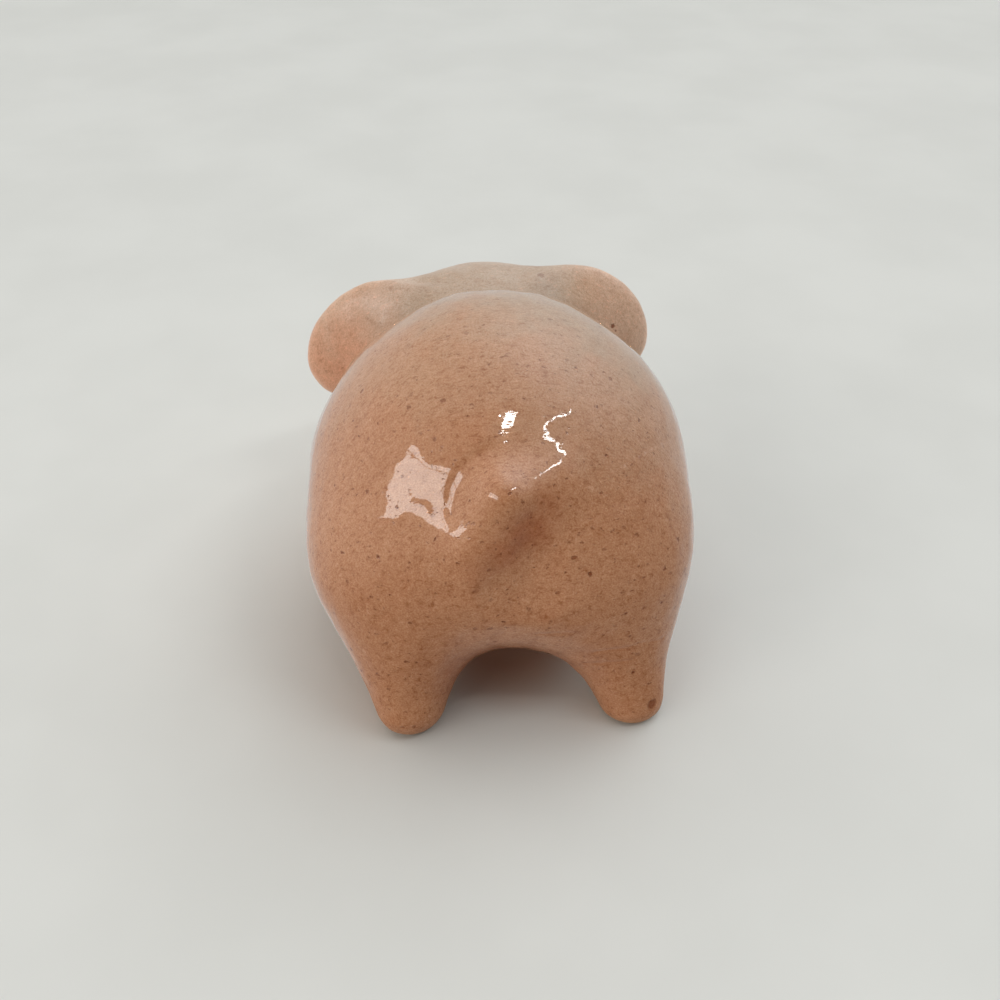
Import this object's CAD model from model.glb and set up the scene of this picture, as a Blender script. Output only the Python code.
import math

import bpy
import numpy as np
from mathutils import Matrix, Vector


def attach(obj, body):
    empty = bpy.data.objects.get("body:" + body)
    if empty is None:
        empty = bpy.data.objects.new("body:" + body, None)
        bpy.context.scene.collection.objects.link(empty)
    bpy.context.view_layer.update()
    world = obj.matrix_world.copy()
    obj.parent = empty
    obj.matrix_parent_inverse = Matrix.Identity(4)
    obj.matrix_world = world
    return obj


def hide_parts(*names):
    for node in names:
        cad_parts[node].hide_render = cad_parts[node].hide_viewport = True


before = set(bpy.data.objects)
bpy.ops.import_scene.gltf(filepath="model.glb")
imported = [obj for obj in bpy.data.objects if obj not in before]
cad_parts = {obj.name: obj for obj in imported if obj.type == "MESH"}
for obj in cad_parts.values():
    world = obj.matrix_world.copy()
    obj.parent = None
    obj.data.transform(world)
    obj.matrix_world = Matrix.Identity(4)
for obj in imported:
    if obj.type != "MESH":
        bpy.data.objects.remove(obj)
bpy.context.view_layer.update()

# ------------------------------------------------------------------------------------------
# Shape. Millimetres, in the CAD frame: the pig looks along -Y, its left side is +X, +Z up.
# Every lump of clay is a distance field. The lumps are thumbed into each other by smooth
# unions, the joined skin is meshed once, and then cut along the joints into its pieces, so
# that the glaze runs over the joints without a step.
# ------------------------------------------------------------------------------------------
BY = 3.98           # the body's middle stands this far behind the origin
CELL = 0.25         # grid of the skin
rng = np.random.default_rng(41)


def smin(a, b, k):
    h = np.maximum(k - np.abs(a - b), 0.0) / k
    return np.minimum(a, b) - h * h * k * 0.25


def smax(a, b, k):
    return -smin(-a, -b, k)


def ellipsoid(p, c, r):
    q = (p - c) / r
    k0 = np.sqrt((q * q).sum(-1)) + 1e-9
    k1 = np.sqrt(((q / r) ** 2).sum(-1)) + 1e-9
    return k0 * (k0 - 1.0) / k1


def cone(p, a, b, ra, rb):
    """Two balls and the cone tangent to both."""
    ba = b - a
    l2 = float(ba @ ba)
    rr = ra - rb
    a2 = l2 - rr * rr
    il2 = 1.0 / l2
    pa = p - a
    y = pa @ ba
    z = y - l2
    t = pa * l2 - y[:, None] * ba
    x2 = (t * t).sum(-1)
    y2 = y * y * l2
    z2 = z * z * l2
    k = math.copysign(1.0, rr) * rr * rr * x2
    d = (np.sqrt(x2 * a2 * il2) + y * rr) * il2 - ra
    d = np.where(np.sign(y) * a2 * y2 < k, np.sqrt(x2 + y2) * il2 - ra, d)
    return np.where(np.sign(z) * a2 * z2 > k, np.sqrt(x2 + z2) * il2 - rb, d)


def ripples(n, length, height):
    """A set of slow waves that runs through the clay, seeded."""
    way = rng.normal(size=(n, 3))
    way /= np.linalg.norm(way, axis=1, keepdims=True)
    k = way * (2 * math.pi / length) * rng.uniform(0.7, 1.4, (n, 1))
    return k.T.copy(), rng.uniform(0, 2 * math.pi, n), height * math.sqrt(2.0 / n)


def ripple(p, w):
    return np.sin(p @ w[0] + w[1]).sum(-1) * w[2]


THUMB = ripples(10, 11.0, 0.05)     # thumb-smoothed unevenness
rng = np.random.default_rng(3695)
GLAZE = ripples(16, 2.6, 0.012)     # the thick glaze's slow waves
PEEL = ripples(18, 1.2, 0.0035)     # and its finer ones

A = lambda *v: np.array(v, float)
BODY_C, BODY_R, TAPER = A(0, BY, 17.22), A(16.0, 16.64, 13.18), -0.20 / 14
HEAD_C, HEAD_R = A(-0.06, BY - 15.40, 16.97), A(10.59, 8.06, 8.90)
LEGS = {  # root, toe, their radii, how far the joint is smoothed
    "leg_rear_left": (A(9.48, BY + 9.08, 11.52), A(8.84, BY + 14.23, 2.22), 4.73, 2.92, 7.9),
    "leg_rear_right": (A(-8.06, BY + 9.62, 11.52), A(-9.90, BY + 14.46, 1.43), 5.25, 2.87, 7.0),
    "leg_front_left": (A(8.80, BY - 6.40, 11.30), A(9.20, BY - 9.80, 1.95), 4.70, 2.90, 7.0),
    "leg_front_right": (A(-8.80, BY - 6.30, 11.30), A(-9.30, BY - 9.60, 1.85), 4.80, 2.88, 7.0),
}
EAR_R = A(6.79, 4.69, 1.75)
EARS = {  # middle, way to the tip, way out of the flap's back
    "ear_left": (A(11.20, BY - 16.04, 18.84), A(0.699, -0.073, -0.712), A(0.342, 0.908, 0.242)),
    "ear_right": (A(-10.72, BY - 15.98, 19.60), A(-0.735, -0.077, -0.674), A(-0.343, 0.900, 0.270)),
}
TAIL = [  # the curled nub: centre line and radius, from its tip to where it runs out on the rump
    (A(3.42, BY + 15.19, 18.00), 1.00),
    (A(3.04, BY + 13.72, 19.37), 2.52),
    (A(0.85, BY + 13.40, 22.96), 2.07),
    (A(-2.26, BY + 10.60, 21.84), 3.15),
]
HOLLOW = [(A(-1.48, BY + 16.61, 19.47), 1.33), (A(-0.52, BY + 20.13, 17.60), 4.01)]     # pressed in under the curl
GROOVES = [  # line, width, depth: the crease round the nub, and faint folds over the right hind leg
    ([A(1.55, BY + 11.03, 25.74), A(2.88, BY + 11.25, 25.29), A(3.96, BY + 11.76, 24.47), A(4.62, BY + 12.48, 23.43),
      A(4.78, BY + 13.36, 22.28), A(4.56, BY + 14.10, 21.35)], 0.50, 0.13),
    ([A(-5.97, BY + 16.49, 9.04), A(-7.39, BY + 16.58, 9.21), A(-9.71, BY + 16.20, 9.25), A(-11.88, BY + 15.10, 8.53)], 0.20, 0.050),
    ([A(-5.43, BY + 15.95, 7.19), A(-7.18, BY + 16.54, 7.66), A(-9.13, BY + 16.48, 7.72)], 0.20, 0.045),
    ([A(-1.40, BY + 16.81, 11.95), A(-4.19, BY + 16.90, 11.85)], 0.20, 0.035),
    ([A(11.23, BY + 15.18, 12.89), A(9.37, BY + 15.64, 14.80), A(8.42, BY + 15.98, 14.52)], 0.20, 0.035),
]
SNOUT_C, SNOUT_R = A(-0.06, BY - 23.3, 15.6), A(4.7, 2.2, 3.9)


def d_body(p):
    q = p - BODY_C
    s = 1.0 + TAPER * np.clip(q[:, 2:3], -14, 14)
    return ellipsoid(np.concatenate([q[:, :2] / s, q[:, 2:]], 1), np.zeros(3), BODY_R)


def d_leg(p, name):
    root, toe, rr, tr, _ = LEGS[name]
    return cone(p, root, toe, rr, tr)


def d_head(p):
    return ellipsoid(p, HEAD_C, HEAD_R)


def ear_axes(name):
    c, way, back = EARS[name]
    way = way / np.linalg.norm(way)
    back = back - way * (back @ way)
    back /= np.linalg.norm(back)
    return c, np.stack([way, np.cross(back, way), back])


def d_ear(p, name):
    c, m = ear_axes(name)
    q = (p - c) @ m.T
    d = ellipsoid(q, np.zeros(3), EAR_R)
    # the front of the flap is pressed hollow with a fingertip
    cup = ellipsoid(q, A(1.6, 0.0, -2.15), A(4.2, 2.9, 1.35))
    return smax(d, -cup, 0.9)


def d_snout(p):
    q = p - SNOUT_C
    rad = np.sqrt((q[:, 0] / SNOUT_R[0]) ** 2 + (q[:, 2] / SNOUT_R[2]) ** 2)
    side = (rad - 1.0) * 4.1
    # a slightly dished front face
    face = np.abs(q[:, 1]) - SNOUT_R[1] + 0.22 * np.clip(1.0 - rad, 0, 1)
    return smax(side, face, 1.9)


def d_nostrils(p):
    out = None
    for x in (-1.75, 1.75):
        d = ellipsoid(p, A(SNOUT_C[0] + x, SNOUT_C[1] - 2.15, SNOUT_C[2] + 0.1), A(0.72, 1.15, 1.05))
        out = d if out is None else np.minimum(out, d)
    return out


def d_tail(p):
    out = None
    for (a, ra), (b, rb) in zip(TAIL[:-1], TAIL[1:]):
        d = cone(p, a, b, ra, rb)
        out = d if out is None else smin(out, d, 0.5)
    return out


def groove(p, line, width, depth):
    """A soft furrow along a line on the skin."""
    best = np.full(len(p), 50.0)
    for a, b in zip(line[:-1], line[1:]):
        ab = b - a
        h = np.clip((p - a) @ ab / (ab @ ab), 0, 1)
        best = np.minimum(best, ((p - a - h[:, None] * ab) ** 2).sum(1))
    return depth * np.exp(-best / width ** 2)


def local(p, c, r, shape):
    """A lump's distance near the lump, and just far away elsewhere."""
    d = np.full(len(p), 40.0)
    m = ((p - c) ** 2).sum(1) < r * r
    if m.any():
        d[m] = shape(p[m])
    return d


def skin(p):
    d = d_body(p)
    for name, leg in LEGS.items():
        d = smin(d, local(p, (leg[0] + leg[1]) / 2, 9.6 + leg[4], lambda q: d_leg(q, name)), leg[4])
    d = smin(d, local(p, A(0, BY + 14, 21.0), 9.5, d_tail), 1.55)
    for c, r in HOLLOW:
        d = smax(d, -local(p, c, r + 3.0, lambda q: np.sqrt(((q - c) ** 2).sum(1)) - r), 1.78)
    for line, width, depth in GROOVES:
        m = ((p - sum(line) / len(line)) ** 2).sum(1) < 36.0
        if m.any():
            d[m] += groove(p[m], line, width, depth)
    h = d_head(p)
    for name in EARS:
        h = smin(h, local(p, EARS[name][0], 11.5, lambda q: d_ear(q, name)), 3.4)
    h = smin(h, local(p, SNOUT_C, 8.5, d_snout), 1.5)
    h = smax(h, -local(p, SNOUT_C, 5.5, d_nostrils), 0.5)
    d = smin(d, h, 1.4)
    d = d + ripple(p, THUMB) + ripple(p, GLAZE) + ripple(p, PEEL)
    return smax(d, -p[:, 2], 0.9)       # worn flat where it stands


def slope(p, e=0.03):
    g = np.empty_like(p)
    for i in range(3):
        s = np.zeros(3)
        s[i] = e
        g[:, i] = skin(p + s) - skin(p - s)
    return g / (2 * e)


def skin_mesh():
    lo = A(-18.2, -23.2, -0.8)
    block = 5
    n = np.ceil((A(18.2, 23.2, 31.6) - lo) / (CELL * block)).astype(int)
    size = n * block + 1
    mid = [lo[i] + (np.arange(n[i]) + 0.5) * block * CELL for i in range(3)]
    centres = np.stack(np.meshgrid(*mid, indexing="ij"), -1).reshape(-1, 3)
    dc = skin(centres).reshape(n)
    field = np.repeat(np.repeat(np.repeat(dc, block, 0), block, 1), block, 2)
    field = np.pad(field, ((0, 1), (0, 1), (0, 1)), mode="edge")
    near = np.argwhere(np.abs(dc) < block * CELL * 0.87 + 0.7)
    step = np.stack(np.meshgrid(*[np.arange(block + 1)] * 3, indexing="ij"), -1).reshape(-1, 3)
    for part in np.array_split(near, max(1, len(near) // 1500)):
        idx = (part[:, None, :] * block + step[None]).reshape(-1, 3)
        field[idx[:, 0], idx[:, 1], idx[:, 2]] = skin(lo + idx * CELL)
    inside = field < 0
    nx, ny, nz = size
    corners = [(i, j, k) for i in (0, 1) for j in (0, 1) for k in (0, 1)]
    cut = lambda arr, o: arr[o[0]:nx - 1 + o[0], o[1]:ny - 1 + o[1], o[2]:nz - 1 + o[2]]
    count = sum(cut(inside, o).astype(np.int8) for o in corners)
    active = (count > 0) & (count < 8)
    cells = np.argwhere(active)
    ident = -np.ones(active.shape, np.int64)
    ident[active] = np.arange(len(cells))
    total = np.zeros((len(cells), 3))
    hits = np.zeros(len(cells))
    for o in corners:
        for ax in range(3):
            if o[ax]:
                continue
            o2 = list(o)
            o2[ax] = 1
            a = cells + np.array(o)
            b = cells + np.array(o2)
            fa = field[a[:, 0], a[:, 1], a[:, 2]]
            fb = field[b[:, 0], b[:, 1], b[:, 2]]
            m = (fa < 0) != (fb < 0)
            t = np.where(m, fa / np.where(m, fa - fb, 1.0), 0.0)
            pos = a + t[:, None] * (b - a)
            total += np.where(m[:, None], pos, 0.0)
            hits += m
    verts = lo + total / hits[:, None] * CELL
    quads = []
    for ax in range(3):
        u, v = (ax + 1) % 3, (ax + 2) % 3
        a = [slice(None)] * 3
        b = [slice(None)] * 3
        a[ax], b[ax] = slice(0, -1), slice(1, None)
        for w in (u, v):
            a[w] = b[w] = slice(1, -1)
        sa, sb = inside[tuple(a)], inside[tuple(b)]
        for flip, m in ((False, sa & ~sb), (True, ~sa & sb)):
            e = np.argwhere(m)
            full = e.copy()
            full[:, u] += 1
            full[:, v] += 1
            ring = []
            for du, dv in ((-1, -1), (0, -1), (0, 0), (-1, 0)):
                c = full.copy()
                c[:, u] += du
                c[:, v] += dv
                ring.append(ident[c[:, 0], c[:, 1], c[:, 2]])
            q = np.stack(ring, 1)
            quads.append(q[:, ::-1] if flip else q)
    quads = np.concatenate(quads)

    def settle(p, rounds):
        for _ in range(rounds):
            d = skin(p)
            g = slope(p)
            p = p - g * (d / np.maximum((g * g).sum(1), 1e-6))[:, None]
        return p

    verts = settle(verts, 2)
    # even out the grid's spacing along the skin, then settle on the skin again
    links = np.concatenate([quads[:, [0, 1]], quads[:, [1, 2]], quads[:, [2, 3]], quads[:, [3, 0]]])
    both = np.concatenate([links, links[:, ::-1]])
    deg = np.bincount(both[:, 0], minlength=len(verts))
    for _ in range(4):
        mean = np.stack([np.bincount(both[:, 0], weights=verts[both[:, 1], i], minlength=len(verts)) for i in range(3)], 1)
        verts = verts + 0.5 * (mean / deg[:, None] - verts)
    verts = settle(verts, 2)
    d1 = ((verts[quads[:, 0]] - verts[quads[:, 2]]) ** 2).sum(1)
    d2 = ((verts[quads[:, 1]] - verts[quads[:, 3]]) ** 2).sum(1)
    short = d1 <= d2
    tris = np.concatenate([
        quads[short][:, [0, 1, 2]], quads[short][:, [0, 2, 3]],
        quads[~short][:, [0, 1, 3]], quads[~short][:, [1, 2, 3]],
    ])
    return verts, tris


class Skin:
    """The skin as one growing list of points, cut into closed pieces that share their joints."""

    def __init__(self, verts, tris):
        self.v = verts
        self.outer = np.ones(len(verts), bool)
        self.t = tris
        self.cap = np.zeros(len(tris), bool)

    def cut_off(self, f):
        """Takes the piece where f < 0 off, closes both sides of the joint, returns (triangles, cap flags)."""
        f = np.where(np.abs(f) < 1e-7, 1e-7, f)
        s = f < 0
        n_in = s[self.t].sum(1)
        whole_in, whole_out = n_in == 3, n_in == 0
        mixed = ~(whole_in | whole_out)
        t, c = self.t[mixed], self.cap[mixed]
        lone_in = n_in[mixed] == 1
        ts = s[t]
        lone = np.where(lone_in, ts.argmax(1), (~ts).argmax(1))
        r = np.arange(len(t))
        v0, v1, v2 = t[r, lone], t[r, (lone + 1) % 3], t[r, (lone + 2) % 3]
        pairs = np.sort(np.concatenate([np.stack([v0, v1], 1), np.stack([v0, v2], 1)]), axis=1)
        uniq, inv = np.unique(pairs, axis=0, return_inverse=True)
        inv = inv.reshape(-1)
        fa, fb = f[uniq[:, 0]], f[uniq[:, 1]]
        w = np.clip(fa / (fa - fb), 0.1, 0.9)[:, None]
        new = self.v[uniq[:, 0]] * (1 - w) + self.v[uniq[:, 1]] * w
        base = len(self.v)
        self.v = np.concatenate([self.v, new])
        self.outer = np.concatenate([self.outer, self.outer[uniq[:, 0]] & self.outer[uniq[:, 1]]])
        e1, e2 = base + inv[:len(t)], base + inv[len(t):]
        small = np.stack([v0, e1, e2], 1)
        big = np.concatenate([np.stack([e1, v1, v2], 1), np.stack([e1, v2, e2], 1)])
        big_c, big_lone_in = np.concatenate([c, c]), np.concatenate([lone_in, lone_in])
        t_in = [self.t[whole_in], small[lone_in], big[~big_lone_in]]
        c_in = [self.cap[whole_in], c[lone_in], big_c[~big_lone_in]]
        t_out = [self.t[whole_out], small[~lone_in], big[big_lone_in]]
        c_out = [self.cap[whole_out], c[~lone_in], big_c[big_lone_in]]
        a = np.where(lone_in, e1, e2)
        b = np.where(lone_in, e2, e1)
        nxt = dict(zip(a.tolist(), b.tolist()))
        while nxt:
            start, cur = next(iter(nxt.items()))
            del nxt[start]
            loop = [start]
            while cur != start:
                loop.append(cur)
                cur = nxt.pop(cur)
            loop = np.array(loop)
            pts = self.v[loop]
            mid = pts.mean(0)
            rings = [loop]
            for amount in (0.3, 0.62, 0.86):
                ids = len(self.v) + np.arange(len(loop))
                self.v = np.concatenate([self.v, pts + (mid - pts) * amount])
                self.outer = np.concatenate([self.outer, np.zeros(len(loop), bool)])
                rings.append(ids)
            hub = len(self.v)
            self.v = np.concatenate([self.v, mid[None]])
            self.outer = np.append(self.outer, False)
            faces = []
            for lo_r, hi_r in zip(rings[:-1], rings[1:]):
                l2, h2 = np.roll(lo_r, -1), np.roll(hi_r, -1)
                faces += [np.stack([l2, lo_r, hi_r], 1), np.stack([l2, hi_r, h2], 1)]
            last = rings[-1]
            faces.append(np.stack([np.roll(last, -1), last, np.full(len(last), hub)], 1))
            faces = np.concatenate(faces)
            flag = np.ones(len(faces), bool)
            t_in.append(faces)
            c_in.append(flag)
            t_out.append(faces[:, ::-1])
            c_out.append(flag)
        self.t, self.cap = np.concatenate(t_out), np.concatenate(c_out)
        return np.concatenate(t_in), np.concatenate(c_in)


whole = Skin(*skin_mesh())
found = {}
away = lambda p, c, r: np.where(((p - c) ** 2).sum(1) > r * r, 50.0, 0.0)
found["tail"] = whole.cut_off(d_tail(whole.v) - d_body(whole.v) + away(whole.v, A(0, BY + 14, 21.5), 7.5))
for name, leg in LEGS.items():
    near = away(whole.v, (leg[0] + leg[1]) / 2, 12.0)
    found[name] = whole.cut_off(d_leg(whole.v, name) - np.minimum(d_body(whole.v), d_head(whole.v)) + near)
found["snout"] = whole.cut_off(d_snout(whole.v) - d_head(whole.v) + away(whole.v, SNOUT_C, 7.5))
for name in EARS:
    near = away(whole.v, EARS[name][0], 8.2)
    found[name] = whole.cut_off(d_ear(whole.v, name) - np.minimum(d_body(whole.v), d_head(whole.v)) + near)
found["head"] = whole.cut_off(np.minimum(d_head(whole.v), d_snout(whole.v)) - d_body(whole.v) + away(whole.v, HEAD_C, 16.0))
found["body"] = (whole.t, whole.cap)

points = whole.v
normals = np.zeros_like(points)
rim = whole.outer
normals[rim] = slope(points[rim])
normals[rim] /= np.maximum(np.linalg.norm(normals[rim], axis=1, keepdims=True), 1e-9)
# how hollow and how sharp the skin is: the glaze pools in creases and thins over edges
pool, edge = np.zeros(len(points)), np.zeros(len(points))
pool[rim] = 1.0 - skin(points[rim] + normals[rim] * 1.1) / 1.1
edge[rim] = 1.0 + skin(points[rim] - normals[rim] * 1.3) / 1.3


def add_piece(name, tris, cap):
    used, inv = np.unique(tris, return_inverse=True)
    tris = inv.reshape(-1, 3)
    me = bpy.data.meshes.new(name)
    co = (points[used] / 1000.0).astype(np.float32)
    me.vertices.add(len(co))
    me.vertices.foreach_set("co", co.ravel())
    me.loops.add(len(tris) * 3)
    me.loops.foreach_set("vertex_index", tris.astype(np.int32).ravel())
    me.polygons.add(len(tris))
    me.polygons.foreach_set("loop_start", np.arange(0, len(tris) * 3, 3, dtype=np.int32))
    me.update(calc_edges=True)
    me.validate()
    me.polygons.foreach_set("use_smooth", np.ones(len(me.polygons), bool))
    face = np.cross(co[tris[:, 1]] - co[tris[:, 0]], co[tris[:, 2]] - co[tris[:, 0]])
    face /= np.maximum(np.linalg.norm(face, axis=1, keepdims=True), 1e-20)
    ln = np.where(cap[:, None, None], face[:, None, :], normals[used][tris])
    me.normals_split_custom_set([tuple(n) for n in ln.reshape(-1, 3)])
    for key, values in (("pool", pool), ("edge", edge)):
        me.attributes.new(key, "FLOAT", "POINT").data.foreach_set("value", values[used].astype(np.float32))
    ob = bpy.data.objects.new(name + "_glazed", me)
    bpy.context.scene.collection.objects.link(ob)
    return ob


pieces = {name: add_piece(name, *tc) for name, tc in found.items()}


# the eyes: pellets of dark clay, pressed in and a little flattened, with a soft rim
def eye_piece(name, side):
    x, z = 4.6 * side, 20.7 - HEAD_C[2]
    y = -HEAD_R[1] * math.sqrt(1 - (x / HEAD_R[0]) ** 2 - (z / HEAD_R[2]) ** 2)
    c = HEAD_C + A(x, y, z)
    out = A(x, y, z) / HEAD_R ** 2
    out /= np.linalg.norm(out)
    ux = np.cross(A(0, 0, 1), out)
    ux /= np.linalg.norm(ux)
    uy = np.cross(out, ux)
    # settle the pellet's middle on the uneven skin
    for _ in range(3):
        c = c - out * skin(c[None])[0]
    rows, cols = 20, 40
    vs, fs = [], []
    for i in range(1, rows):
        a = math.pi * i / rows
        for j in range(cols):
            b = 2 * math.pi * j / cols
            rad = 0.85 * math.sin(a) ** 0.9 * (1 + 0.025 * math.sin(2 * b + side) + 0.015 * math.sin(3 * b))
            up = 0.62 * math.copysign(abs(math.cos(a)) ** 1.1, math.cos(a))
            vs.append(c + ux * rad * math.cos(b) + uy * rad * math.sin(b) * 1.06 + out * up)
    for i in range(rows - 2):
        for j in range(cols):
            k = (j + 1) % cols
            fs.append((i * cols + j, (i + 1) * cols + j, (i + 1) * cols + k, i * cols + k))
    top, bottom = len(vs), len(vs) + 1
    vs += [c + out * 0.62, c - out * 0.62]
    for j in range(cols):
        k = (j + 1) % cols
        fs.append((top, j, k))
        fs.append((bottom, (rows - 2) * cols + k, (rows - 2) * cols + j))
    me = bpy.data.meshes.new(name)
    me.from_pydata([tuple(v / 1000.0) for v in vs], [], fs)
    me.validate()
    me.polygons.foreach_set("use_smooth", np.ones(len(me.polygons), bool))
    ob = bpy.data.objects.new(name + "_pellet", me)
    bpy.context.scene.collection.objects.link(ob)
    return ob


pieces["eye_left"] = eye_piece("eye_left", 1)
pieces["eye_right"] = eye_piece("eye_right", -1)


# ------------------------------------------------------------------------------------------
# Materials
# ------------------------------------------------------------------------------------------
class Nodes:
    def __init__(self, name):
        self.mat = bpy.data.materials.new(name)
        self.mat.use_nodes = True
        self.tree = self.mat.node_tree
        self.tree.nodes.clear()

    def add(self, kind, **values):
        node = self.tree.nodes.new(kind)
        for key, value in values.items():
            if hasattr(node, key):
                setattr(node, key, value)
        return node

    def link(self, a, b):
        self.tree.links.new(a, b)

    def feed(self, socket, value):
        if hasattr(value, "is_output"):
            self.link(value, socket)
        else:
            socket.default_value = value

    def noise(self, vec, scale, detail=4.0, rough=0.55, distort=0.0):
        n = self.add("ShaderNodeTexNoise")
        self.link(vec, n.inputs["Vector"])
        n.inputs["Scale"].default_value = scale
        n.inputs["Detail"].default_value = detail
        n.inputs["Roughness"].default_value = rough
        n.inputs["Distortion"].default_value = distort
        return n.outputs["Fac"]

    def ramp(self, fac, lo, hi, a=0.0, b=1.0, kind="SMOOTHSTEP"):
        n = self.add("ShaderNodeMapRange", interpolation_type=kind)
        self.link(fac, n.inputs["Value"])
        n.inputs["From Min"].default_value = lo
        n.inputs["From Max"].default_value = hi
        n.inputs["To Min"].default_value = a
        n.inputs["To Max"].default_value = b
        return n.outputs["Result"]

    def math(self, op, a, b=0.0):
        n = self.add("ShaderNodeMath", operation=op)
        self.feed(n.inputs[0], a)
        self.feed(n.inputs[1], b)
        return n.outputs[0]

    def mix(self, fac, a, b, blend="MIX"):
        n = self.add("ShaderNodeMix", data_type="RGBA", blend_type=blend)
        self.feed(n.inputs["Factor"], fac)
        self.feed(n.inputs["A"], a)
        self.feed(n.inputs["B"], b)
        return n.outputs["Result"]

    def stretch(self, vec, scale, rot=(0, 0, 0)):
        n = self.add("ShaderNodeMapping")
        self.link(vec, n.inputs["Vector"])
        n.inputs["Scale"].default_value = scale
        n.inputs["Rotation"].default_value = rot
        return n.outputs["Vector"]

    def voronoi(self, vec, scale, rand=1.0):
        n = self.add("ShaderNodeTexVoronoi", feature="F1", distance="EUCLIDEAN")
        self.link(vec, n.inputs["Vector"])
        n.inputs["Scale"].default_value = scale
        n.inputs["Randomness"].default_value = rand
        return n.outputs["Distance"], n.outputs["Color"]

    def bump(self, height, distance, strength=1.0, normal=None):
        n = self.add("ShaderNodeBump")
        n.inputs["Strength"].default_value = strength
        n.inputs["Distance"].default_value = distance
        self.link(height, n.inputs["Height"])
        if normal is not None:
            self.link(normal, n.inputs["Normal"])
        return n.outputs["Normal"]


def specks(n, vec, scale, chance, small, large):
    """Scattered pits: which cells hold one, how big and how dark it is, goes by the cell."""
    dist, colour = n.voronoi(vec, scale)
    sep = n.add("ShaderNodeSeparateColor")
    n.link(colour, sep.inputs[0])
    there = n.math("LESS_THAN", sep.outputs[0], chance)
    radius = n.ramp(sep.outputs[1], 0.0, 1.0, small * scale, large * scale, "LINEAR")
    edge = n.math("SUBTRACT", radius, dist)
    soft = n.ramp(edge, 0.0, 0.07 * scale)
    return n.math("MULTIPLY", n.math("MULTIPLY", soft, there), n.ramp(sep.outputs[2], 0.0, 1.0, 0.4, 1.0, "LINEAR"))


# single dark pits and smudges: where, how wide, how dark
MARKS = [
    ((-12.40, -10.63, 19.86), 0.34, 1.0), ((-12.73, -10.65, 19.29), 0.20, 0.9), ((-5.39, -10.90, 25.49), 0.42, 0.6),
    ((-11.18, 20.80, 2.41), 0.62, 0.85), ((-3.41, 20.33, 17.70), 0.24, 1.0), ((-5.25, 20.16, 17.37), 0.22, 1.0),
]


# where the glaze has run together under the tail: place in mm, reach, depth
POOLS = [((-0.58, 19.18, 21.13), 3.1, 1.0), ((0.99, 19.90, 19.89), 2.5, 0.85), ((2.96, 20.52, 18.86), 2.1, 0.4), ((-2.02, 18.41, 22.65), 2.2, 0.5)]


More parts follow.
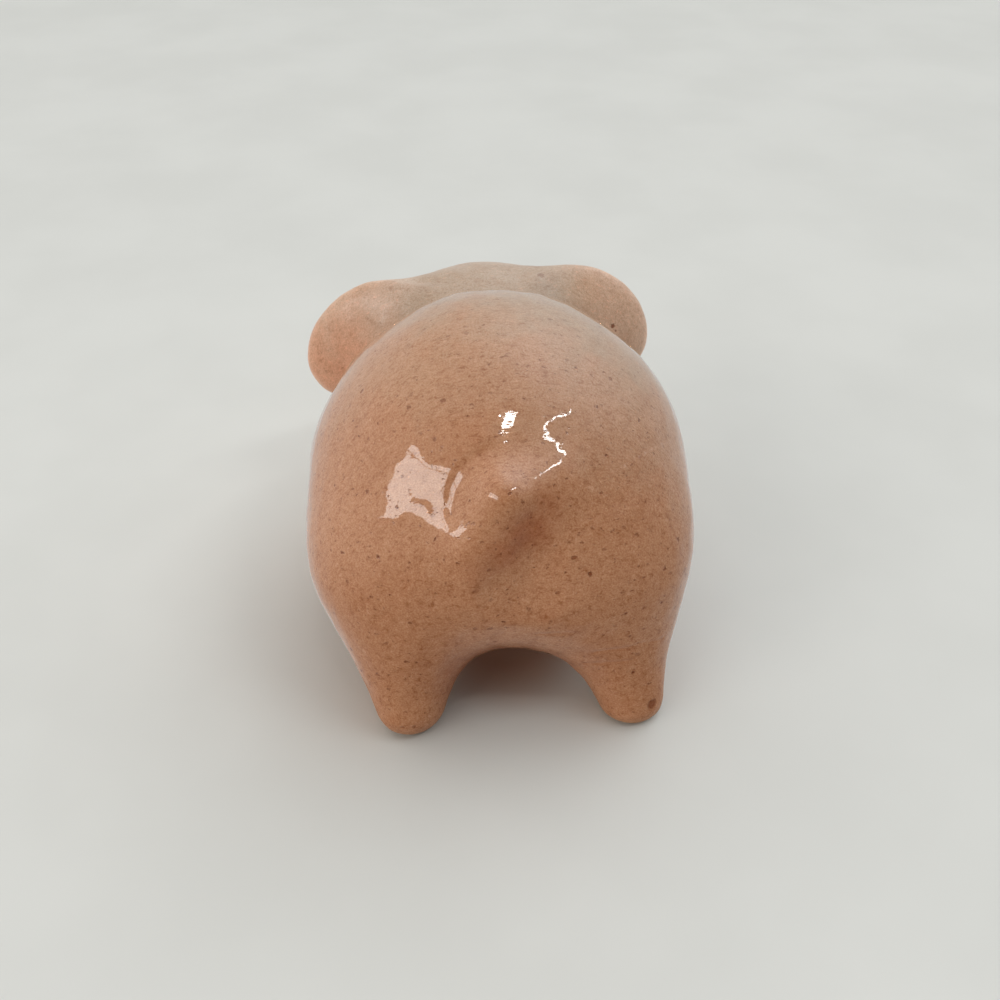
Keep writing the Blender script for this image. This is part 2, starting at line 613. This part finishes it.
def glazed_clay(name, coat_rough, blush):
    n = Nodes(name)
    out = n.add("ShaderNodeOutputMaterial")
    bsdf = n.add("ShaderNodeBsdfPrincipled")
    n.link(bsdf.outputs[0], out.inputs[0])
    tc = n.add("ShaderNodeTexCoord")
    mm = n.stretch(tc.outputs["Object"], (1000, 1000, 1000))
    # colour: peach clay, browner low down at the rear, paler towards the face and ears,
    # with warm clouds, fine flecks and iron specks
    sep = n.add("ShaderNodeSeparateXYZ")
    n.link(mm, sep.inputs[0])
    cloud = n.noise(mm, 0.22, 3.0, 0.55, 0.4)
    patch = n.noise(mm, 0.75, 5.0, 0.6, 0.3)
    fleck = n.noise(n.stretch(mm, (1.7, 3.2, 2.0), (0.12, 0.0, 0.10)), 1.0, 5.0, 0.72, 0.6)
    lean = n.math("SUBTRACT", n.math("MULTIPLY", sep.outputs["Z"], 0.020), n.math("MULTIPLY", sep.outputs["Y"], 0.025))
    lean = n.math("ADD", lean, n.math("MULTIPLY", sep.outputs["X"], -0.011))
    lean = n.math("ADD", lean, n.ramp(cloud, 0.3, 0.7, -0.09, 0.09, "LINEAR"))
    shade = n.add("ShaderNodeValToRGB")
    shade.color_ramp.interpolation = "EASE"
    stops = [(0.0, (0.570, 0.290, 0.158)), (0.16, (0.598, 0.316, 0.178)), (0.36, (0.568, 0.296, 0.163)), (0.56, (0.556, 0.318, 0.188)), (1.0, (0.478, 0.362, 0.254))]
    while len(shade.color_ramp.elements) < len(stops):
        shade.color_ramp.elements.new(0.5)
    for el, (at, rgb) in zip(shade.color_ramp.elements, stops):
        el.position = at
        el.color = (*rgb, 1)
    n.link(n.ramp(lean, -0.28, 0.72, 0.0, 1.0, "LINEAR"), shade.inputs[0])
    colour = shade.outputs[0]
    colour = n.mix(n.ramp(patch, 0.42, 0.74, 0.0, 0.45), colour, (0.84, 0.72, 0.62, 1), "MULTIPLY")
    sparse = n.ramp(lean, 0.22, 0.58, 1.0, 0.65)       # the markings grow fainter towards the head
    colour = n.mix(n.math("MULTIPLY", n.ramp(fleck, 0.28, 0.50, 0.85, 0.0), sparse), colour, (0.63, 0.45, 0.34, 1), "MULTIPLY")
    colour = n.mix(n.ramp(fleck, 0.52, 0.76, 0.0, 0.50), colour, (0.76, 0.48, 0.32, 1))
    grain = n.noise(mm, 7.0, 3.0, 0.75, 0.0)
    coarse = n.math("MULTIPLY", n.ramp(grain, 0.32, 0.68, 1.0, 0.0, "LINEAR"), n.ramp(lean, 0.05, 0.45, 1.0, 0.85))
    colour = n.mix(coarse, colour, n.mix(1.0, colour, (0.73, 0.57, 0.47, 1), "MULTIPLY"))
    ragged = n.add("ShaderNodeTexNoise")
    n.link(mm, ragged.inputs["Vector"])
    ragged.inputs["Scale"].default_value = 3.2
    ragged.inputs["Detail"].default_value = 2.0
    bent = n.add("ShaderNodeVectorMath", operation="MULTIPLY_ADD")
    n.link(ragged.outputs["Color"], bent.inputs[0])
    bent.inputs[1].default_value = (0.44, 0.44, 0.44)
    n.link(mm, bent.inputs[2])
    bent = bent.outputs[0]
    big = specks(n, n.stretch(bent, (0.70, 0.95, 1.05), (0.3, 0.25, 0.2)), 1.25, 0.60, 0.05, 0.19)
    mid = specks(n, n.stretch(bent, (0.80, 1.1, 1.2), (0.1, -0.3, 0.4)), 2.1, 0.70, 0.04, 0.14)
    pit = n.math("MAXIMUM", big, n.math("MULTIPLY", mid, 0.7))
    pit = n.math("MULTIPLY", n.math("MULTIPLY", pit, sparse), n.ramp(sep.outputs["Y"], -9.0, 2.0, 0.45, 1.0))      # few on the head and ears
    for at, size, depth in MARKS:
        far = n.add("ShaderNodeVectorMath", operation="DISTANCE")
        n.link(bent, far.inputs[0])
        far.inputs[1].default_value = [v + 0.22 for v in at]
        pit = n.math("MAXIMUM", pit, n.ramp(far.outputs["Value"], size * 0.45, size, depth, 0.0))
    colour = n.mix(pit, colour, n.mix(1.0, colour, (0.52, 0.34, 0.26, 1), "MULTIPLY"))
    # glaze: darker and redder where it pools in the creases, thin and pale over the edges
    creased = n.add("ShaderNodeAttribute", attribute_name="pool").outputs["Fac"]
    rimmed = n.add("ShaderNodeAttribute", attribute_name="edge").outputs["Fac"]
    colour = n.mix(n.ramp(creased, 0.10, 0.40, 0.0, 0.30 if blush else 0.9), colour, n.mix(1.0, colour, (0.72, 0.52, 0.41, 1), "MULTIPLY"))
    run = None
    for at, size, depth in POOLS:
        far = n.add("ShaderNodeVectorMath", operation="DISTANCE")
        n.link(mm, far.inputs[0])
        far.inputs[1].default_value = at
        soft = n.ramp(far.outputs["Value"], size * 0.15, size, depth, 0.0)
        run = soft if run is None else n.math("MAXIMUM", run, soft)
    colour = n.mix(run, colour, n.mix(1.0, colour, (0.84, 0.65, 0.56, 1), "MULTIPLY"))
    colour = n.mix(n.ramp(rimmed, 0.34, 0.72, 0.0, 0.45), colour, (0.72, 0.50, 0.35, 1))
    if blush:       # the ears are warmer than the head between them
        side = n.math("ABSOLUTE", sep.outputs["X"])
        nape = n.math("MULTIPLY", n.ramp(side, 6.5, 12.0, 1.0, 0.0), n.ramp(sep.outputs["Y"], -19.0, -13.0, 0.0, 1.0))
        warm = n.mix(n.ramp(side, 8.0, 13.0, 0.0, 1.0), (1.46, 1.30, 1.29, 1), (1.76, 1.63, 1.70, 1))
        tinge = n.mix(nape, warm, (1.17, 1.22, 1.32, 1))
        colour = n.mix(1.0, colour, tinge, "MULTIPLY")
        for at, pale in (((8.3, -11.4, 24.5), (1.27, 1.30, 1.38, 1)), ((-8.9, -11.0, 24.3), (1.14, 1.09, 1.04, 1))):       # paler at the ears' roots
            far = n.add("ShaderNodeVectorMath", operation="DISTANCE")
            n.link(mm, far.inputs[0])
            far.inputs[1].default_value = at
            colour = n.mix(n.ramp(far.outputs["Value"], 0.8, 3.6, 1.0, 0.0), colour, n.mix(1.0, colour, pale, "MULTIPLY"))
    # the feet: the glaze is worn off where they stand, down to tan clay
    worn = n.ramp(n.math("ADD", sep.outputs["Z"], n.math("MULTIPLY", patch, -1.3)), -0.25, 0.45, 1.0, 0.0)
    colour = n.mix(n.math("MULTIPLY", worn, 0.75), colour, (0.42, 0.255, 0.14, 1))
    n.link(colour, bsdf.inputs["Base Color"])
    rough = n.ramp(fleck, 0.3, 0.7, 0.42, 0.56, "LINEAR")
    n.link(n.math("MAXIMUM", rough, n.math("MULTIPLY", worn, 0.8)), bsdf.inputs["Roughness"])
    # relief: pits and a scraped skin under the glaze, slow waves in the glaze
    scraped = n.noise(n.stretch(mm, (1.6, 6.0, 1.8), (0.12, 0.0, 0.10)), 1.0, 5.0, 0.6, 0.4)
    relief = n.math("SUBTRACT", n.math("MULTIPLY", scraped, 0.55), pit)
    n.link(n.bump(relief, 0.00014, 0.8), bsdf.inputs["Normal"])
    streak = n.noise(n.stretch(mm, (0.7, 3.4, 0.8), (0.12, 0.0, 0.10)), 1.0, 2.0, 0.5, 0.4)
    flow = n.math("SUBTRACT", n.math("MULTIPLY", streak, 0.05), n.math("MULTIPLY", pit, 0.10))
    coat_n = n.bump(flow, 0.00010, 1.0)
    n.link(coat_n, bsdf.inputs["Coat Normal"])
    thick = n.math("MULTIPLY", n.ramp(worn, 0.2, 0.8, 1.0, 0.15), n.ramp(sep.outputs["Z"], 2.0, 11.0, 0.30, 1.0))
    n.link(thick, bsdf.inputs["Coat Weight"])
    bsdf.inputs["Coat Roughness"].default_value = coat_rough
    bsdf.inputs["Coat IOR"].default_value = 1.5
    bsdf.inputs["Specular IOR Level"].default_value = 0.05
    return n.mat


def dark_glaze():
    n = Nodes("eye_glaze")
    out = n.add("ShaderNodeOutputMaterial")
    bsdf = n.add("ShaderNodeBsdfPrincipled")
    n.link(bsdf.outputs[0], out.inputs[0])
    tc = n.add("ShaderNodeTexCoord")
    mm = n.stretch(tc.outputs["Object"], (1000, 1000, 1000))
    mottle = n.noise(mm, 2.2, 4.0, 0.6, 0.3)
    colour = n.mix(n.ramp(mottle, 0.35, 0.7), (0.012, 0.007, 0.005, 1), (0.045, 0.022, 0.013, 1))
    n.link(colour, bsdf.inputs["Base Color"])
    n.link(n.ramp(mottle, 0.3, 0.7, 0.22, 0.36, "LINEAR"), bsdf.inputs["Roughness"])
    n.link(n.bump(n.noise(mm, 1.6, 2.0, 0.5), 0.00004, 1.0), bsdf.inputs["Normal"])
    bsdf.inputs["Coat Weight"].default_value = 1.0
    bsdf.inputs["Coat Roughness"].default_value = 0.05
    return n.mat


# the glaze lies thick and bright on the body, thinner and duller on the head and its ears
clay, satin, dark = glazed_clay("glazed_clay", 0.012, False), glazed_clay("glazed_clay_satin", 0.34, True), dark_glaze()
for name, ob in pieces.items():
    eye = name.startswith("eye")
    thin = name in ("head", "snout", "ear_left", "ear_right")
    ob.data.materials.append(dark if eye else satin if thin else clay)
    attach(ob, "root")
    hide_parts(name)


# ------------------------------------------------------------------------------------------
# Floor, light and camera
# ------------------------------------------------------------------------------------------
def floor_piece():
    """The floor, and the patch of it under the belly, which is one surface with it."""
    s = 3.0
    ring = []
    for i in range(48):
        c, d = math.cos(2 * math.pi * i / 48), math.sin(2 * math.pi * i / 48)
        r = (c ** 4 + d ** 4) ** -0.25
        ring.append((0.0150 * r * c, (BY + 0.5) / 1000 + 0.0195 * r * d, 0.0))
    far = [(s * math.cos(t), s * math.sin(t), 0.0) for t in (2 * math.pi * i / 48 for i in range(48))]
    quads = [(i, (i + 1) % 48, 48 + (i + 1) % 48, 48 + i) for i in range(48)]
    made = []
    for name, points, faces in (("floor", far + ring, quads), ("floor_under", ring, [tuple(range(48))])):
        me = bpy.data.meshes.new(name)
        me.from_pydata(points, [], faces)
        ob = bpy.data.objects.new(name, me)
        bpy.context.scene.collection.objects.link(ob)
        made.append(ob)
    n = Nodes("pale_floor")
    out = n.add("ShaderNodeOutputMaterial")
    bsdf = n.add("ShaderNodeBsdfPrincipled")
    n.link(bsdf.outputs[0], out.inputs[0])
    tc = n.add("ShaderNodeTexCoord")
    mm = n.stretch(tc.outputs["Object"], (1000, 1000, 1000))
    soft = n.noise(mm, 0.05, 3.0, 0.5)
    pale = n.mix(n.ramp(soft, 0.3, 0.7), (0.675, 0.675, 0.642, 1), (0.705, 0.705, 0.672, 1))
    near = n.add("ShaderNodeVectorMath", operation="LENGTH")       # it takes up clay dust under the pig
    dust = n.add("ShaderNodeVectorMath", operation="MULTIPLY_ADD")
    n.link(mm, dust.inputs[0])
    dust.inputs[1].default_value = (1 / 9.0, 1 / 13.0, 0.0)
    dust.inputs[2].default_value = (0.0, -7.0 / 13.0, 0.0)
    n.link(dust.outputs[0], near.inputs[0])
    pale = n.mix(n.ramp(near.outputs["Value"], 0.45, 1.0, 1.0, 0.0), pale, n.mix(1.0, pale, (0.70, 0.47, 0.37, 1), "MULTIPLY"))
    n.link(pale, bsdf.inputs["Base Color"])
    bsdf.inputs["Roughness"].default_value = 0.9
    bsdf.inputs["Specular IOR Level"].default_value = 0.15
    for ob in made:
        ob.data.materials.append(n.mat)
    made[0].visible_glossy = False      # keeps the pale floor's haze out of the glaze


floor_piece()

scene = bpy.context.scene
scene.view_settings.view_transform = "Standard"
world = bpy.data.worlds.new("studio")
scene.world = world
world.use_nodes = True
tree = world.node_tree
bg = tree.nodes["Background"]
# a pale room: dim on the side one looks from, with the broadest light high up beyond the pig to the
# right, a warm pale wall on the left, and the pale table beyond, which the glaze mirrors at its edges
way = tree.nodes.new("ShaderNodeTexCoord")
room = None


def glow(axis, start, end, power, strength, colour):
    """Light that swells smoothly towards a direction, added to the room."""
    global room
    dot = tree.nodes.new("ShaderNodeVectorMath")
    dot.operation = "DOT_PRODUCT"
    dot.inputs[1].default_value = Vector(axis).normalized()
    tree.links.new(way.outputs["Generated"], dot.inputs[0])
    ramp = tree.nodes.new("ShaderNodeMapRange")
    ramp.inputs["From Min"].default_value = start
    ramp.inputs["From Max"].default_value = end
    tree.links.new(dot.outputs["Value"], ramp.inputs["Value"])
    bend = tree.nodes.new("ShaderNodeMath")
    bend.operation = "POWER"
    bend.inputs[1].default_value = power
    tree.links.new(ramp.outputs["Result"], bend.inputs[0])
    gain = tree.nodes.new("ShaderNodeMath")
    gain.operation = "MULTIPLY"
    gain.inputs[1].default_value = strength
    tree.links.new(bend.outputs[0], gain.inputs[0])
    tint = tree.nodes.new("ShaderNodeVectorMath")
    tint.operation = "MULTIPLY_ADD"
    tree.links.new(gain.outputs[0], tint.inputs[0])
    tint.inputs[1].default_value = colour
    tint.inputs[2].default_value = (0.010, 0.010, 0.010)
    if room is not None:
        tree.links.new(room, tint.inputs[2])
    room = tint.outputs[0]
    return gain


glows = [
    glow((0.0, -0.72, 0.694), -0.7, 0.9, 1.3, 0.048, (1.0, 1.0, 0.98)),
    glow((-0.45, -0.38, 0.81), 0.0, 1.0, 4.0, 2.02, (0.95, 0.99, 1.02)),
    glow((0.88, -0.15, 0.46), 0.0, 1.0, 2.5, 0.88, (1.0, 0.95, 0.89)),
    glow((0.0, 0.0, -1.0), -0.5, 0.0, 1.6, 0.06, (1.0, 0.98, 0.95)),
    glow((0.0, -0.80, -0.60), -0.1, 0.8, 1.0, 0.55, (1.0, 0.99, 0.96)),
]
# seen directly, the room is plain and as pale as the floor
seen = tree.nodes.new("ShaderNodeMix")
seen.data_type = "RGBA"
ray = tree.nodes.new("ShaderNodeLightPath")
tree.links.new(ray.outputs["Is Camera Ray"], seen.inputs["Factor"])
tree.links.new(room, seen.inputs["A"])
seen.inputs["B"].default_value = (0.655, 0.660, 0.640, 1.0)
tree.links.new(seen.outputs["Result"], bg.inputs["Color"])
bg.inputs["Strength"].default_value = 1.0

CENTRE = Vector((0, BY / 1000, 0.0172))


def panel(name, way, dist, width, height, radiance, colour=(1, 1, 1), along=(0, 0, 1)):
    """A flat light that faces the pig, its height along a direction. radiance: 1 is the picture's white."""
    data = bpy.data.lights.new(name, "AREA")
    data.shape = "ELLIPSE" if name == "lamp_top" else "RECTANGLE"
    data.size, data.size_y = width, height
    data.energy = radiance * math.pi * width * height
    data.color = colour
    ob = bpy.data.objects.new(name, data)
    scene.collection.objects.link(ob)
    z = Vector(way).normalized()
    y = Vector(along)
    y = (y - z * y.dot(z)).normalized()
    x = y.cross(z)
    ob.matrix_world = Matrix.Translation(CENTRE + z * dist) @ Matrix((x, y, z)).transposed().to_4x4()
    return ob


# a window to the left behind the camera, leaning as it mirrors, in two sashes with a bar between
WINDOW, SILL_UP = Vector((0.703, 0.450, 0.551)).normalized(), Vector((-0.305, -0.425, 0.968))
for name, up, tall in (("window_upper", 0.0501, 0.0521), ("window_lower", -0.0332, 0.0945)):
    middle = WINDOW * 0.62 + (SILL_UP - WINDOW * SILL_UP.dot(WINDOW)).normalized() * up
    glass = panel(name, middle, 0.62, 0.440, tall, 5.8, (1.0, 0.985, 0.96), SILL_UP)
    glass.visible_diffuse = False       # the bright panes the glaze mirrors
    light = panel(name + "_light", middle, 0.62, 0.440, tall, 3.2, (1.0, 0.96, 0.91), SILL_UP)
    light.visible_glossy = False        # the softer light they give
# a lamp overhead, and a strip light to the right of it
panel("lamp_top", (-0.027, 0.345, 0.938), 0.6, 0.046, 0.0215, 26.0, (1.0, 0.99, 0.97), (0.0, -0.9, 0.3))
panel("lamp_strip", (-0.522, 0.264, 0.811), 0.6, 0.0191, 0.248, 23.0, (0.98, 1.0, 1.0), (0.239, 0.183, 0.043))
# broad soft fills from low on the left and from behind the camera, for the pig alone
lit = bpy.data.collections.new("pig_lit")
for name in ("body", "tail", "leg_rear_left", "leg_rear_right", "leg_front_left", "leg_front_right"):
    lit.objects.link(pieces[name])
for name, side, radiance in (("fill_left", (0.88, 0.46, 0.04), 1.45), ("fill_back", (0.05, 0.95, 0.25), 0.42)):
    fill = panel(name, side, 0.6, 0.50, 0.36, radiance, (1.0, 0.98, 0.95))
    fill.visible_glossy = False
    fill.light_linking.receiver_collection = lit

cam_data = bpy.data.cameras.new("camera")
cam_data.sensor_fit = "HORIZONTAL"
cam_data.sensor_width = 36.0
cam_data.lens = 36.0 * 1080.0 / 1000.0
cam_data.clip_start = 0.001
cam_data.clip_end = 20.0
cam = bpy.data.objects.new("camera", cam_data)
scene.collection.objects.link(cam)
cam.location = (0.007165, 0.077234, 0.073242)
cam.rotation_euler = Vector((-0.0759649, -0.7622686, -0.64278761)).to_track_quat("-Z", "Y").to_euler()
scene.camera = cam

bpy.context.view_layer.update()
